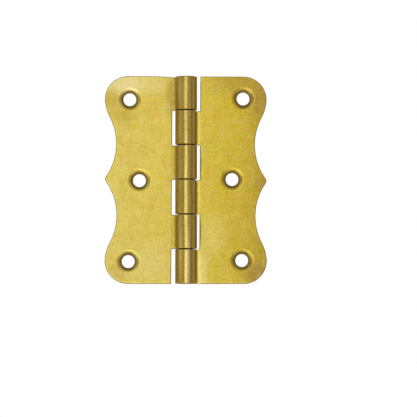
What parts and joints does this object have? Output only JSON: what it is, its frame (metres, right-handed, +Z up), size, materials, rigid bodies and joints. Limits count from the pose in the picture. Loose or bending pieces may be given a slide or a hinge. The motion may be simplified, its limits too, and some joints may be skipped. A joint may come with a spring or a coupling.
{
  "type": "butt hinge",
  "caption": "Open butt hinge with two scalloped sheet-metal leaves, countersunk screw holes and a rolled, interleaved barrel on a plain pin.",
  "frame": {"origin": "on the pin's axis at the barrel's mid height, which is also the centre of the bounding box with the leaves open flat", "axes": "+Z up along the pin, +X from the barrel out along the right leaf, -Y the front, where the barrel stands proud and the screws go in; the leaves' backs face +Y"},
  "size_m": [0.0778, 0.0106, 0.1],
  "materials": {
    "leaf": "sheet steel, brass plated, satin",
    "pin": "drawn steel wire, brass plated, satin"
  },
  "bodies": {
    "frame_side": {"left_leaf": "leaf", "hinge_pin": "pin"},
    "door_side": {"right_leaf": "leaf"}
  },
  "joints": [
    {"name": "leaf_swing", "type": "hinge", "parent": "frame_side", "child": "door_side", "pos_m": [0, 0, 0], "axis": [0, 0, -1], "range_deg": [-101, 188]}
  ]
}
